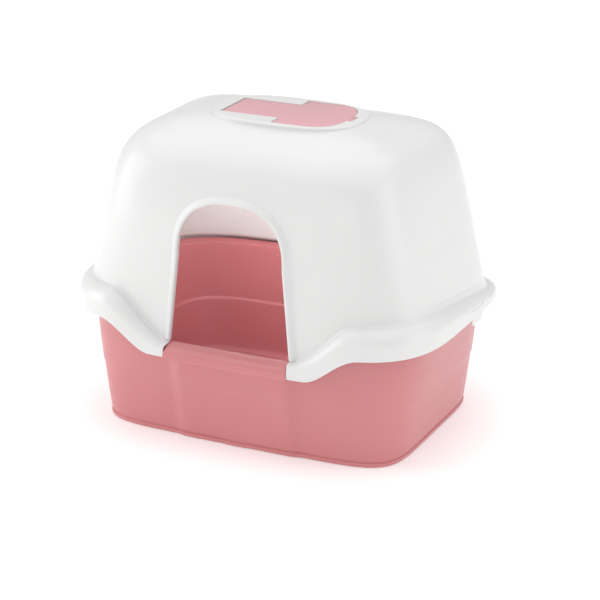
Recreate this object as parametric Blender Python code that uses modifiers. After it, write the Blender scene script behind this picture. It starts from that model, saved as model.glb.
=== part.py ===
"""Hooded cat litter box: a pan with a rolled rim, a lift-off hood with an arched doorway and a filter
well in its roof, a hinged cover over the well, a filter pad, and a swing latch on each short side.

Metres, +Z up. The origin is the bottom centre, +X runs along the long side and the doorway faces -Y.
"""

import math

import bmesh
import bpy
from mathutils import Matrix, Vector

# Driving dimensions
LENGTH = 0.5969
WIDTH = 0.4572
HEIGHT = 0.4780
WALL = 0.0025
AROUND = 92
SILL_FRONT = 0.2222
FLANGE_FRONT = 0.2286
FLANGE_REAR = WIDTH - SILL_FRONT
# Shapes are drawn about the middle of the pan, which stands this far from the middle of the whole depth.
BODY_Y = (SILL_FRONT - FLANGE_REAR) / 2

# Pan
PAN_BASE_HALF = (0.248, 0.175)
PAN_TOP_HALF = (0.2735, 0.1965)
PAN_BASE_POWER = 6.6
PAN_TOP_POWER = 4.5
PAN_WALL_TOP = 0.170
FOOT_HEIGHT = 0.008
FOOT_GROOVE = 0.0016
STEP_HEIGHT = 0.090
STEP_OUT = 0.0012
BAY_HALF = 0.100
BAY_BASE_OUT = 0.0045
BAY_TOP_OUT = 0.012
RIM_INSET = 0.0070
RIM_DROP = 0.0065

# Sill: the stretch of the rolled rim that shows in the doorway
SILL_HALF = 0.1015
SILL_CORNER = 0.006
SILL_PROFILE = (
    (-0.2215, 0.1400), (-0.2222, 0.1465), (-0.2200, 0.1525), (-0.2140, 0.1575), (-0.2060, 0.1605),
    (-0.1990, 0.1612), (-0.1945, 0.1590), (-0.1930, 0.1530), (-0.1930, 0.1400), (-0.2060, 0.1370),
)

# Hood flange: a skirt that turns over a round shoulder onto a ledge against the wall
FLANGE_POWER = 4.0
EDGE_SIDE = 0.1865
EDGE_FRONT = 0.1430
EDGE_REAR_DROP = 0.0145
LEDGE_SIDE = 0.230
LEDGE_FRONT = 0.163
LEDGE_REAR_DROP = 0.035
SKIRT_SHARE = 0.42
SKIRT_LEAN = 0.20

# Hood wall and dome
HOOD_BASE_Z = 0.22875
HOOD_TOP_Z = 0.4646
HOOD_HALF = (0.2772, 0.1980)
HOOD_TAPER = (0.2401, 0.0380)
DOME_POWER = (10.0, 4.9)
HOOD_POWER = (4.46, 5.12)
ROOF_CROWN = 0.0115
CROWN_REACH = 0.60
CROWN_POWER = 1.2
HOOD_SHARES = (0.05, 0.18, 0.36, 0.54, 0.68, 0.79, 0.87, 0.925, 0.962, 0.984, 0.994, 0.9985, 0.9998)

# Doorway
DOOR_SILL_Z = 0.1585
DOOR_SILL_HALF = 0.099
DOOR_SPRING_Z = 0.298
DOOR_SPRING_HALF = 0.085
DOOR_TOP_Z = 0.383
DOOR_ARCH_POWER = 2.5
BEAD_RADIUS = 0.0075
BEAD_OUT = 0.0062
BEAD_FOOT_Z = 0.1675
BEAD_SUNK = 0.0025
NOTCH_GAP = 0.0006
NOTCH_TOP_Z = 0.1615
DOOR_FLOOR_Z = 0.100

# Roof frame, cover and filter
FRAME_CENTRE_X = 0.0025
FRAME_HALF = (0.1210, 0.0770)
FRAME_POWER = 2.8
FRAME_FOOT_Z = 0.4625
FRAME_FILLET = 0.006
FRAME_SKIN = 0.003
FRAME_WALL = (0.010, 0.0092)
TONGUE_LEFT = -0.0925
TONGUE_HALF = 0.0410
WIDE_LEFT = 0.003
WIDE_RIGHT = 0.102
WIDE_HALF = 0.067
END_BEND = 0.052
END_POWER = 0.8
COVER_TOP_Z = HEIGHT - 0.0015
COVER_THICK = 0.0028
COVER_GAP = 0.0005
COVER_LEFT_GAP = 0.0012
RECESS_FLOOR_Z = COVER_TOP_Z - COVER_THICK - 0.0004
HINGE_X = TONGUE_LEFT + 0.0040
HINGE_Z = COVER_TOP_Z - COVER_THICK / 2
PIN_RADIUS = 0.0012
PIN_REACH = 0.0026
PIN_GAP = 0.0004
TAB_HALF = 0.0125
TAB_LEFT = 0.0965
TAB_RIGHT = 0.1095
TAB_GAP = 0.0010
TAB_BOTTOM_Z = COVER_TOP_Z - 0.0055
TAB_TOP_Z = COVER_TOP_Z - 0.0008
WELL_FLOOR_Z = 0.4652
WELL_LEDGE = 0.003
WELL_WALL = 0.0028
FILTER_THICK = 0.0075
FILTER_GAP = 0.0004
FILTER_CLEAR = 0.003
FILTER_BEND = 0.046
SLOTS = 6
SLOT_WIDTH = 0.005
SLOT_ENDS = (0.016, 0.084)
UNDER_ROOF_Z = 0.430
CLEAR_Z = 0.500

# Side latches
LATCH_Y = 0.036
LATCH_HALF = 0.0212
LATCH_BOTTOM_Z = 0.1750
LATCH_CORNER = 0.005
LATCH_THICK = 0.0024
LATCH_AXIS_Z = 0.1972
LATCH_BARREL = 0.0024
LATCH_GAP = 0.0004
LATCH_SET_BACK = 0.0001
LATCH_PIN = 0.0011
LATCH_PIN_REACH = 0.0026
LUG_THICK = 0.0045
LUG_DEPTH = (0.0062, 0.0015)
LUG_Z = (0.1925, 0.2012)
LUG_OVERLAP = 0.0010
NOTCH_DEPTH = 0.0075

WHITE = (0.86, 0.86, 0.86)
PINK = (0.62, 0.24, 0.27)
PALE_PINK = (0.76, 0.42, 0.45)
CHARCOAL = (0.03, 0.03, 0.03)


def clear_scene():
    for obj in list(bpy.data.objects):
        bpy.data.objects.remove(obj, do_unlink=True)


def new_collection(name, hidden=False):
    collection = bpy.data.collections.new(name)
    collection.hide_render = hidden
    bpy.context.scene.collection.children.link(collection)
    return collection


def plastic(name, colour, roughness):
    material = bpy.data.materials.new(name)
    material.use_nodes = True
    shader = material.node_tree.nodes["Principled BSDF"]
    shader.inputs["Base Color"].default_value = (*colour, 1.0)
    shader.inputs["Roughness"].default_value = roughness
    shader.inputs["Metallic"].default_value = 0.0
    return material


def smooth(t):
    t = min(max(t, 0.0), 1.0)
    return t * t * (3 - 2 * t)


def superellipse(half_x, half_y, power, angle):
    """Point of |x/half_x|^power + |y/half_y|^power = 1 at this angle."""
    c, s = math.cos(angle), math.sin(angle)
    x = half_x * math.copysign(abs(c) ** (2 / power), c)
    y = half_y * math.copysign(abs(s) ** (2 / power), s)
    return x, y


def flange_outline(angle):
    """Plan of the skirt: a little deeper behind than in front."""
    half_y = FLANGE_FRONT if math.sin(angle) < 0 else FLANGE_REAR
    return superellipse(LENGTH / 2, half_y, FLANGE_POWER, angle)


def even_angles(count):
    """Angles whose points lie evenly along the flange outline, starting on +X."""
    fine = 7200
    angles = [2 * math.pi * i / fine for i in range(fine + 1)]
    points = [flange_outline(angle) for angle in angles]
    along = [0.0]
    for first, second in zip(points, points[1:]):
        along.append(along[-1] + math.dist(first, second))
    found = []
    place = 0
    for i in range(count):
        target = along[-1] * i / count
        while along[place + 1] < target:
            place += 1
        found.append(angles[place])
    return found


def edge_z(x, y):
    """Height of the skirt's lower edge above the plan point: it dips at the doorway and at the rear."""
    if y < 0:
        return EDGE_FRONT + (EDGE_SIDE - EDGE_FRONT) * smooth((abs(x) - 0.124) / 0.088)
    return EDGE_SIDE - EDGE_REAR_DROP * smooth((y - 0.100) / 0.128)


def ledge_z(x, y):
    """Height where the ledge meets the hood's wall."""
    side = LEDGE_SIDE - LEDGE_REAR_DROP * smooth((y + 0.150) / 0.378)
    if y < 0:
        return LEDGE_FRONT + (side - LEDGE_FRONT) * smooth((abs(x) - 0.090) / 0.120)
    return side


def roof_rise(z):
    """How far the roof's crown lifts the ring of this height: nothing at the shoulder, most in the middle."""
    s = min(max((z - HOOD_BASE_Z) / (HOOD_TOP_Z - HOOD_BASE_Z), 0.0), 1.0)
    share = (1 - s ** DOME_POWER[1]) ** (1 / DOME_POWER[1])
    return ROOF_CROWN * max(1 - (share / CROWN_REACH) ** 2, 0.0) ** CROWN_POWER


def hood_ring_point(z, angle):
    """Point of the hood's outer wall at height z."""
    s = max((z - HOOD_BASE_Z) / (HOOD_TOP_Z - HOOD_BASE_Z), 0.0)
    half = []
    for size, taper, power in zip(HOOD_HALF, HOOD_TAPER, DOME_POWER):
        half.append((size - taper * (z - HOOD_BASE_Z)) * (1 - s**power) ** (1 / power))
    power = HOOD_POWER[0] + (HOOD_POWER[1] - HOOD_POWER[0]) * s * s
    return superellipse(*half, power, angle)


def flange_point(angle):
    x, y = flange_outline(angle)
    return Vector((x, y, edge_z(x, y)))


def flange_profile(angle, inset=0.0, drop=0.0):
    """Skirt, round shoulder and ledge of the flange in one direction, from the lower edge inward."""
    outer = flange_point(angle)
    low = outer.z
    high = ledge_z(outer.x, outer.y)
    wall = Vector((*hood_ring_point(high, angle), high))
    flat_out = Vector((outer.x, outer.y))
    flat_wall = Vector((wall.x, wall.y))
    inward = (flat_wall - flat_out).normalized()
    flat_out += inward * (inset + SKIRT_LEAN * max(EDGE_SIDE - low, 0) * (1 if outer.y < 0 else 0))
    skirt = (high - low) * SKIRT_SHARE
    points = [Vector((*flat_out, low))]
    for share in (0.0, 0.30, 0.55, 0.78, 1.0):
        turn = share * math.pi / 2
        flat = flat_wall + (flat_out - flat_wall) * math.cos(turn)
        z = low + skirt + (high - low - skirt) * math.sin(turn) - drop
        points.append(Vector((*flat, z)))
    return points


def loft(name, columns, cap):
    """Open surface through columns of points, one column in each direction round the object. The last
    point of every column lies on the ring that cap closes."""
    mesh = bmesh.new()
    grid = [[mesh.verts.new(point) for point in column] for column in columns]
    for i, column in enumerate(grid):
        following = grid[(i + 1) % len(grid)]
        for j in range(len(column) - 1):
            mesh.faces.new((column[j], following[j], following[j + 1], column[j + 1]))
    if cap:
        mesh.faces.new([column[-1] for column in grid])
    return add_mesh(name, mesh)


def add_mesh(name, mesh):
    bmesh.ops.recalc_face_normals(mesh, faces=mesh.faces)
    data = bpy.data.meshes.new(name)
    mesh.to_mesh(data)
    mesh.free()
    return bpy.data.objects.new(name, data)


def box(name, low, high):
    mesh = bmesh.new()
    bmesh.ops.create_cube(mesh, size=1.0)
    low, high = Vector(low), Vector(high)
    place = Matrix.Translation((low + high) / 2) @ Matrix.Diagonal((*(high - low), 1.0))
    bmesh.ops.transform(mesh, matrix=place, verts=mesh.verts)
    return add_mesh(name, mesh)


def rod(name, radius, start, end, sides=16):
    """Cylinder from start to end."""
    mesh = bmesh.new()
    start, end = Vector(start), Vector(end)
    along = end - start
    bmesh.ops.create_cone(
        mesh, cap_ends=True, segments=sides, radius1=radius, radius2=radius, depth=along.length
    )
    turn = Vector((0, 0, 1)).rotation_difference(along).to_matrix().to_4x4()
    bmesh.ops.transform(mesh, matrix=Matrix.Translation((start + end) / 2) @ turn, verts=mesh.verts)
    return add_mesh(name, mesh)


def curve_to_mesh(curve):
    """The evaluated curve as a welded mesh object, in place of the curve."""
    bpy.context.scene.collection.objects.link(curve)
    bpy.context.view_layer.update()
    evaluated = curve.evaluated_get(bpy.context.evaluated_depsgraph_get())
    data = bpy.data.meshes.new_from_object(evaluated)
    name, place = curve.name, curve.matrix_world.copy()
    bpy.data.objects.remove(curve, do_unlink=True)
    mesh = bmesh.new()
    mesh.from_mesh(data)
    bmesh.ops.transform(mesh, matrix=place, verts=mesh.verts)
    bmesh.ops.remove_doubles(mesh, verts=mesh.verts, dist=0.00001)
    return add_mesh(name, mesh)


def slab(name, outline, low, high, upright=False):
    """Flat outline given a thickness: level between two heights, or upright between two values of y."""
    data = bpy.data.curves.new(name, "CURVE")
    data.dimensions = "2D"
    data.fill_mode = "BOTH"
    data.extrude = (high - low) / 2
    spline = data.splines.new("POLY")
    spline.points.add(len(outline) - 1)
    for point, (u, v) in zip(spline.points, outline):
        point.co = (u, v, 0, 1)
    spline.use_cyclic_u = True
    curve = bpy.data.objects.new(name, data)
    if upright:
        curve.rotation_euler.x = math.pi / 2
        curve.location.y = (low + high) / 2
    else:
        curve.location.z = (low + high) / 2
    return curve_to_mesh(curve)


def tube(name, path, radius):
    """Round bar with flat ends along a path."""
    data = bpy.data.curves.new(name, "CURVE")
    data.dimensions = "3D"
    data.bevel_depth = radius
    data.bevel_resolution = 2
    data.use_fill_caps = True
    spline = data.splines.new("POLY")
    spline.points.add(len(path) - 1)
    for point, place in zip(spline.points, path):
        point.co = (*place, 1)
    return curve_to_mesh(bpy.data.objects.new(name, data))


def finish_part(obj, material, collection):
    collection.objects.link(obj)
    obj.data.materials.append(material)
    obj.data.shade_smooth()
    obj.data.set_sharp_from_angle(angle=math.radians(35))


def solidify(obj):
    """Gives the surface its wall thickness on the side that its normals point away from."""
    modifier = obj.modifiers.new("wall", "SOLIDIFY")
    modifier.thickness = WALL
    modifier.offset = -1
    modifier.use_even_offset = True


class Joiner:
    """Adds Boolean modifiers to an object, with each tool kept in the cutters' collection."""

    def __init__(self, obj, cutters):
        self.obj = obj
        self.cutters = cutters

    def apply(self, tool, operation):
        self.cutters.objects.link(tool)
        tool.hide_render = True
        tool.display_type = "WIRE"
        modifier = self.obj.modifiers.new(tool.name, "BOOLEAN")
        modifier.operation = operation
        modifier.solver = "EXACT"
        modifier.object = tool

    def add(self, tool):
        self.apply(tool, "UNION")

    def cut(self, tool):
        self.apply(tool, "DIFFERENCE")


def pan_wall_point(z, angle):
    """Point of the pan's outer wall, with the bay that swells under the sill."""
    t = z / PAN_WALL_TOP
    half_x = PAN_BASE_HALF[0] + (PAN_TOP_HALF[0] - PAN_BASE_HALF[0]) * t
    half_y = PAN_BASE_HALF[1] + (PAN_TOP_HALF[1] - PAN_BASE_HALF[1]) * t
    power = PAN_BASE_POWER + (PAN_TOP_POWER - PAN_BASE_POWER) * t
    x, y = superellipse(half_x, half_y, power, angle)
    if y < 0:
        swell = BAY_BASE_OUT + (BAY_TOP_OUT - BAY_BASE_OUT) * t * t
        y -= swell * smooth((BAY_HALF + 0.010 - abs(x)) / 0.025)
    return Vector((x, y, z))


def pan_column(angle):
    """One direction of the pan's upper and inner face, from the tip of the rolled rim to the base."""
    rim = flange_profile(angle, RIM_INSET, RIM_DROP)
    rim[0].z = rim[1].z - 0.004
    shoulder = rim[-2]
    top = shoulder.z - 0.006
    column = rim[:-1]
    levels = (
        (top, 0.0),
        (STEP_HEIGHT + 0.030, 0.0),
        (STEP_HEIGHT + 0.002, 0.0),
        (STEP_HEIGHT - 0.002, -STEP_OUT),
        (FOOT_HEIGHT + 0.006, -STEP_OUT),
        (FOOT_HEIGHT + 0.001, -FOOT_GROOVE - STEP_OUT),
        (FOOT_HEIGHT - 0.001, 0.0),
        (WALL, -0.0010),
    )
    for z, out in levels:
        point = pan_wall_point(z, angle)
        flat = Vector((point.x, point.y))
        flat += flat.normalized() * (out - WALL)
        column.append(Vector((*flat, point.z)))
    return column


def sill():
    """Solid stretch of rolled rim between the two ends of the hood's flange."""
    steps = 12
    stations = [-SILL_HALF + 2 * SILL_HALF * i / steps for i in range(steps + 1)]
    stations[1:1] = [-SILL_HALF + SILL_CORNER * share for share in (0.15, 0.5, 1.0)]
    stations[-1:-1] = [SILL_HALF - SILL_CORNER * share for share in (1.0, 0.5, 0.15)]
    mesh = bmesh.new()
    rows = []
    for x in stations:
        bow = FLANGE_FRONT * (1 - (1 - (abs(x) * 2 / LENGTH) ** FLANGE_POWER) ** (1 / FLANGE_POWER))
        into = max(abs(x) - (SILL_HALF - SILL_CORNER), 0.0) / SILL_CORNER
        cut = SILL_CORNER * (1 - math.sqrt(max(1 - into * into, 0.0)))
        row = []
        for y, z in SILL_PROFILE:
            lowered = z - cut * smooth((z - 0.140) / 0.020)
            row.append(mesh.verts.new((x, y + bow, lowered)))
        rows.append(row)
    for first, second in zip(rows, rows[1:]):
        for j in range(len(first)):
            k = (j + 1) % len(first)
            mesh.faces.new((first[j], first[k], second[k], second[j]))
    mesh.faces.new(rows[0])
    mesh.faces.new(rows[-1])
    return add_mesh("sill", mesh)


def make_pan(angles, material, parts, cutters):
    pan = loft("litter_pan", [pan_column(angle) for angle in angles], cap=True)
    solidify(pan)
    joiner = Joiner(pan, cutters)
    joiner.add(sill())
    finish_part(pan, material, parts)
    return pan


def hood_column(angle):
    """One direction of the hood, from the skirt's lower edge up to the flat of the roof."""
    column = flange_profile(angle)
    start = column[-1].z
    for share in HOOD_SHARES:
        z = start + (HOOD_TOP_Z - start) * share
        column.append(Vector((*hood_ring_point(z, angle), z + roof_rise(z))))
    return column


def door_outline(grow=0.0, foot_z=DOOR_SILL_Z):
    """Doorway outline, anticlockwise from the lower right: straight jambs that lean in, and an arch."""
    slope = (DOOR_SILL_HALF - DOOR_SPRING_HALF) / (DOOR_SPRING_Z - DOOR_SILL_Z)
    foot = DOOR_SILL_HALF + slope * (DOOR_SILL_Z - foot_z) + grow
    points = [(foot, foot_z)]
    arch = 22
    rise = DOOR_TOP_Z - DOOR_SPRING_Z
    for i in range(arch + 1):
        turn = math.pi * i / arch
        x, z = superellipse(DOOR_SPRING_HALF + grow, rise + grow, DOOR_ARCH_POWER, turn)
        points.append((x, DOOR_SPRING_Z + z))
    points.append((-foot, foot_z))
    return points


def wall_y(x, z):
    """y of the hood's front wall at this place."""
    low, high = math.pi, 1.5 * math.pi
    if x > 0:
        low, high = 2 * math.pi, 1.5 * math.pi
    for _ in range(40):
        middle = (low + high) / 2
        if abs(hood_ring_point(z, middle)[0]) > abs(x):
            low = middle
        else:
            high = middle
    return hood_ring_point(z, (low + high) / 2)[1]


def door_bead():
    """Round bead that frames the doorway, half sunk in the wall."""
    outline = door_outline(BEAD_OUT, BEAD_FOOT_Z)
    foot, spring = outline[0], outline[1]
    rise = 6
    right = [
        (foot[0] + (spring[0] - foot[0]) * i / rise, foot[1] + (spring[1] - foot[1]) * i / rise)
        for i in range(rise)
    ]
    left = [(-x, z) for x, z in reversed(right)]
    path = [(x, wall_y(x, z) + BEAD_SUNK, z) for x, z in right + outline[1:-1] + left]
    return tube("door_bead", path, BEAD_RADIUS)


def sill_notch():
    """Space that the pan's sill takes between the two ends of the flange."""
    half = SILL_HALF + NOTCH_GAP
    corner = SILL_CORNER
    outline = [(half, 0.120), (half, NOTCH_TOP_Z - corner)]
    for share in (0.33, 0.67, 1.0):
        turn = share * math.pi / 2
        x = half - corner * (1 - math.cos(turn))
        outline.append((x, NOTCH_TOP_Z - corner * (1 - math.sin(turn))))
    outline += [(-x, z) for x, z in reversed(outline)]
    return slab("sill_notch", outline, -0.260, -0.150, upright=True)


def oval(centre_x, half_x, half_y, power, count):
    points = []
    for i in range(count):
        x, y = superellipse(half_x, half_y, power, 2 * math.pi * i / count)
        points.append((centre_x + x, y))
    return points


def round_end(start, reach, half, steps):
    """Bulging right end of the cover or the pad, from -y to +y."""
    points = []
    for i in range(steps + 1):
        turn = -math.pi / 2 + math.pi * i / steps
        c, s = math.cos(turn), math.sin(turn)
        y = half * math.copysign(abs(s) ** END_POWER, s)
        points.append((start + reach * abs(c) ** END_POWER, y))
    return points


def cover_outline(grow=0.0, left=0.0):
    """Plan of the cover: a square-ended tongue, then a wider part with a rounded right end."""
    tongue = TONGUE_HALF + grow
    wide = WIDE_HALF + grow
    start = WIDE_LEFT - grow
    points = [(TONGUE_LEFT - left, -tongue), (start, -tongue), (start, -wide)]
    points += round_end(WIDE_RIGHT - END_BEND, END_BEND + grow, wide, 12)
    points += [(start, wide), (start, tongue), (TONGUE_LEFT - left, tongue)]
    return points


def roof_frame():
    """Raised oval block that carries the cover, before it is hollowed."""
    outline = oval(FRAME_CENTRE_X, *FRAME_HALF, FRAME_POWER, 48)
    block = slab("roof_frame", outline, FRAME_FOOT_Z, HEIGHT)
    rounding = block.modifiers.new("round", "BEVEL")
    rounding.width = FRAME_FILLET
    rounding.segments = 3
    rounding.limit_method = "ANGLE"
    rounding.angle_limit = math.radians(60)
    return block


def frame_hollow(cutters):
    """Space under the frame's top skin, round the outside of the well and of the tab's recess."""
    half_x, half_y = (size - wall for size, wall in zip(FRAME_HALF, FRAME_WALL))
    outline = oval(FRAME_CENTRE_X, half_x, half_y, FRAME_POWER, 40)
    hollow = slab("frame_hollow", outline, UNDER_ROOF_Z + 0.010, HEIGHT - FRAME_SKIN)
    joiner = Joiner(hollow, cutters)
    well = cover_outline(WELL_WALL, WELL_WALL + COVER_LEFT_GAP)
    joiner.cut(slab("well_core", well, UNDER_ROOF_Z, CLEAR_Z))
    half = TAB_HALF + TAB_GAP + WELL_WALL
    low, high = (TAB_LEFT - 0.010, -half, UNDER_ROOF_Z - 0.002), (TAB_RIGHT + 0.020, half, CLEAR_Z + 0.002)
    joiner.cut(box("tab_core", low, high))
    return hollow


def tail_relief():
    """Room below the recess for the cover's short tail, which swings down behind the hinge."""
    half = TONGUE_HALF + COVER_GAP
    low = (TONGUE_LEFT - COVER_LEFT_GAP, -half, HINGE_Z - 0.0055)
    return box("tail_relief", low, (HINGE_X + 0.0060, half, CLEAR_Z))


def make_hood(angles, material, parts, cutters):
    hood = loft("hood", [hood_column(angle) for angle in angles], cap=True)
    solidify(hood)
    joiner = Joiner(hood, cutters)
    joiner.add(door_bead())
    joiner.add(roof_frame())
    joiner.cut(frame_hollow(cutters))
    recess = cover_outline(COVER_GAP, COVER_LEFT_GAP)
    joiner.cut(slab("cover_recess", recess, RECESS_FLOOR_Z, CLEAR_Z))
    joiner.cut(slab("filter_well", cover_outline(-WELL_LEDGE, COVER_LEFT_GAP), WELL_FLOOR_Z, CLEAR_Z))
    joiner.cut(tail_relief())
    half = TAB_HALF + TAB_GAP
    tab_low = (TAB_LEFT - 0.002, -half, TAB_BOTTOM_Z - TAB_GAP)
    joiner.cut(box("tab_recess", tab_low, (TAB_RIGHT + TAB_GAP, half, CLEAR_Z)))
    pitch = (WIDE_HALF - WELL_LEDGE) * 2 / (SLOTS + 1)
    left, right = SLOT_ENDS
    for i in range(SLOTS):
        y = pitch * (i - (SLOTS - 1) / 2)
        half = SLOT_WIDTH / 2
        joiner.cut(box(f"slot_{i + 1}", (left, y - half, 0.450), (right, y + half, 0.472)))
    reach = TONGUE_HALF + PIN_REACH + 0.0006
    ends = (HINGE_X, -reach, HINGE_Z), (HINGE_X, reach, HINGE_Z)
    joiner.cut(rod("cover_pin_holes", PIN_RADIUS + PIN_GAP, *ends))
    joiner.cut(slab("doorway", door_outline(0.0, DOOR_FLOOR_Z), -0.260, -0.120, upright=True))
    joiner.cut(sill_notch())
    for side, name in ((-1, "left"), (1, "right")):
        add_latch_seat(joiner, side, name)
    finish_part(hood, material, parts)
    return hood


def latch_axis_x():
    return LENGTH / 2 - LATCH_BARREL - LATCH_SET_BACK


def add_latch_seat(joiner, side, name):
    """Notch in the skirt for a latch, with a drilled lug at each end for its pins."""
    outer = LENGTH / 2
    ends = (LATCH_Y - LATCH_HALF - LATCH_GAP, LATCH_Y + LATCH_HALF + LATCH_GAP)
    for end, away in zip(ends, (-1, 1)):
        y_near, y_far = sorted((end - away * LUG_OVERLAP, end + away * LUG_THICK))
        x_near, x_far = sorted(side * (outer - depth) for depth in LUG_DEPTH)
        label = "front" if away < 0 else "rear"
        low, high = (x_near, y_near, LUG_Z[0]), (x_far, y_far, LUG_Z[1])
        joiner.add(box(f"lug_{name}_{label}", low, high))
    x_near, x_far = sorted((side * (outer - NOTCH_DEPTH), side * (outer + 0.004)))
    top = LATCH_AXIS_Z + LATCH_BARREL + LATCH_GAP
    joiner.cut(box(f"latch_notch_{name}", (x_near, ends[0], 0.170), (x_far, ends[1], top)))
    axis = side * latch_axis_x()
    reach = LATCH_HALF + LATCH_PIN_REACH + 0.0006
    ends = (axis, LATCH_Y - reach, LATCH_AXIS_Z), (axis, LATCH_Y + reach, LATCH_AXIS_Z)
    joiner.cut(rod(f"latch_pin_holes_{name}", LATCH_PIN + PIN_GAP, *ends))


def make_latch(side, name, material, parts, cutters):
    """Swing latch: a barrel with stub pins, and a plate whose finger tab hangs below the skirt."""
    axis = latch_axis_x()
    outer = LENGTH / 2 - LATCH_SET_BACK
    low = LATCH_BOTTOM_Z - LATCH_AXIS_Z
    outline = [(-LATCH_HALF, 0.0), (-LATCH_HALF, low + LATCH_CORNER)]
    for i in range(1, 4):
        turn = i * math.pi / 6
        y = -LATCH_HALF + LATCH_CORNER * (1 - math.cos(turn))
        outline.append((y, low + LATCH_CORNER * (1 - math.sin(turn))))
    outline += [(-y, z) for y, z in reversed(outline)]
    plate = slab(f"latch_{name}", outline, -LATCH_THICK / 2, LATCH_THICK / 2, upright=True)
    out = Matrix.Translation((side * (outer - axis - LATCH_THICK / 2), 0, 0))
    plate.data.transform(out @ Matrix.Rotation(math.pi / 2, 4, "Z"))
    joiner = Joiner(plate, cutters)
    place = Vector((side * axis, LATCH_Y, LATCH_AXIS_Z))
    reach = LATCH_HALF + LATCH_PIN_REACH
    barrel = rod(f"latch_barrel_{name}", LATCH_BARREL, (0, -LATCH_HALF, 0), (0, LATCH_HALF, 0))
    pins = rod(f"latch_pins_{name}", LATCH_PIN, (0, -reach, 0), (0, reach, 0), 12)
    for tool in (barrel, pins):
        tool.location = place
        joiner.add(tool)
    plate.location = place
    finish_part(plate, material, parts)
    return plate


def make_cover(material, parts, cutters):
    """Cover plate with stub hinge pins at the tongue's end and a pull tab at the other end."""
    cover = slab("filter_cover", cover_outline(), COVER_TOP_Z - COVER_THICK, COVER_TOP_Z)
    cover.data.transform(Matrix.Translation((-HINGE_X, 0, -HINGE_Z)))
    cover.location = (HINGE_X, 0, HINGE_Z)
    joiner = Joiner(cover, cutters)
    reach = TONGUE_HALF + PIN_REACH
    ends = (HINGE_X, -reach, HINGE_Z), (HINGE_X, reach, HINGE_Z)
    joiner.add(rod("cover_pins", PIN_RADIUS, *ends, 12))
    tab_low, tab_high = (TAB_LEFT, -TAB_HALF, TAB_BOTTOM_Z), (TAB_RIGHT, TAB_HALF, TAB_TOP_Z)
    joiner.add(box("pull_tab", tab_low, tab_high))
    finish_part(cover, material, parts)
    return cover


def make_filter(material, parts):
    """Pad of carbon foam that lies on the slotted floor under the wide part of the cover."""
    half = WIDE_HALF - WELL_LEDGE - FILTER_CLEAR
    left = WIDE_LEFT + 0.006
    right = WIDE_RIGHT - WELL_LEDGE - FILTER_CLEAR - 0.001
    points = [(left, -half), *round_end(right - FILTER_BEND, FILTER_BEND, half, 10), (left, half)]
    low = WELL_FLOOR_Z + FILTER_GAP
    pad = slab("carbon_filter", points, low, low + FILTER_THICK)
    finish_part(pad, material, parts)
    return pad


def main():
    clear_scene()
    parts = new_collection("hooded_litter_box")
    cutters = new_collection("cutters", hidden=True)
    white = plastic("hood_white", WHITE, 0.30)
    pink = plastic("pan_pink", PINK, 0.38)
    pale = plastic("cover_pink", PALE_PINK, 0.35)
    carbon = plastic("carbon_foam", CHARCOAL, 0.95)
    angles = even_angles(AROUND)
    make_pan(angles, pink, parts, cutters)
    make_hood(angles, white, parts, cutters)
    make_cover(pale, parts, cutters)
    make_filter(carbon, parts)
    make_latch(-1, "left", white, parts, cutters)
    make_latch(1, "right", white, parts, cutters)
    for obj in [*parts.objects, *cutters.objects]:
        obj.location.y += BODY_Y


main()
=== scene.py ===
"""Looks of the hooded cat litter box: finely modelled plastic shells in place of the plain CAD solids,
a foam pad in the roof's well, moulded-plastic materials, a pale floor, soft studio lights and a camera.

Metres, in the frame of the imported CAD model. Shapes are drawn about the middle of the pan, which
stands BODY_Y from the middle of the whole depth, and every mesh is shifted by that at the end.
"""

import math

import bmesh
import bpy
import numpy as np
from mathutils import Matrix, Vector, noise


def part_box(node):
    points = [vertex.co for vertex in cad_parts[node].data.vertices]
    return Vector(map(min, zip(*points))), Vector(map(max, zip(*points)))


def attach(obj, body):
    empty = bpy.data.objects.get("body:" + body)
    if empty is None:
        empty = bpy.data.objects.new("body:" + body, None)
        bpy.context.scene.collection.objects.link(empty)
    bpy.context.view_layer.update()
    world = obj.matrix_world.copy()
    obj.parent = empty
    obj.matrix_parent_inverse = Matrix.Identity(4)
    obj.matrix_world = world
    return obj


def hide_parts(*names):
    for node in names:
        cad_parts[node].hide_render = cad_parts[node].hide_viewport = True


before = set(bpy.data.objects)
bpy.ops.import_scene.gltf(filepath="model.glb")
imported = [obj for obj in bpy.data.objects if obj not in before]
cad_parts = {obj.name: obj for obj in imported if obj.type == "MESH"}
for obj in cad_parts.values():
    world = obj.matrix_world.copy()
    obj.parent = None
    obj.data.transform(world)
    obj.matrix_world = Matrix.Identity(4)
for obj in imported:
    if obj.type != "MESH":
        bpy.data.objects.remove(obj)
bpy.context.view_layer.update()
DETAIL = 1.0

# Overall sizes, from the frame
HOOD_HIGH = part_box("hood")[1]
HALF_LENGTH = HOOD_HIGH[0]
HEIGHT = HOOD_HIGH[2]
BODY_Y = -0.0064
FLANGE_FRONT = 0.2286
FLANGE_REAR = HOOD_HIGH[1] - BODY_Y
WALL = 0.0025

# Pan
PAN_BASE_HALF = (0.248, 0.175)
PAN_TOP_HALF = (0.2735, 0.1965)
PAN_POWER = (6.6, 4.5)
PAN_WALL_TOP = 0.170
FOOT_HEIGHT = 0.0075
FOOT_GROOVE = 0.0011
STEP_HEIGHT = 0.090
STEP_OUTSIDE = 0.0012
STEP_INSIDE = 0.0034
BAY_EDGE = 0.110
BAY_FADE = 0.025
BAY_OUT = (0.0045, 0.012)
LUG_X = -0.003
LUG_HALF = 0.021
LUG_OUT = 0.0042
RIM_INSET = 0.0070
RIM_DROP = 0.0065

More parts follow.
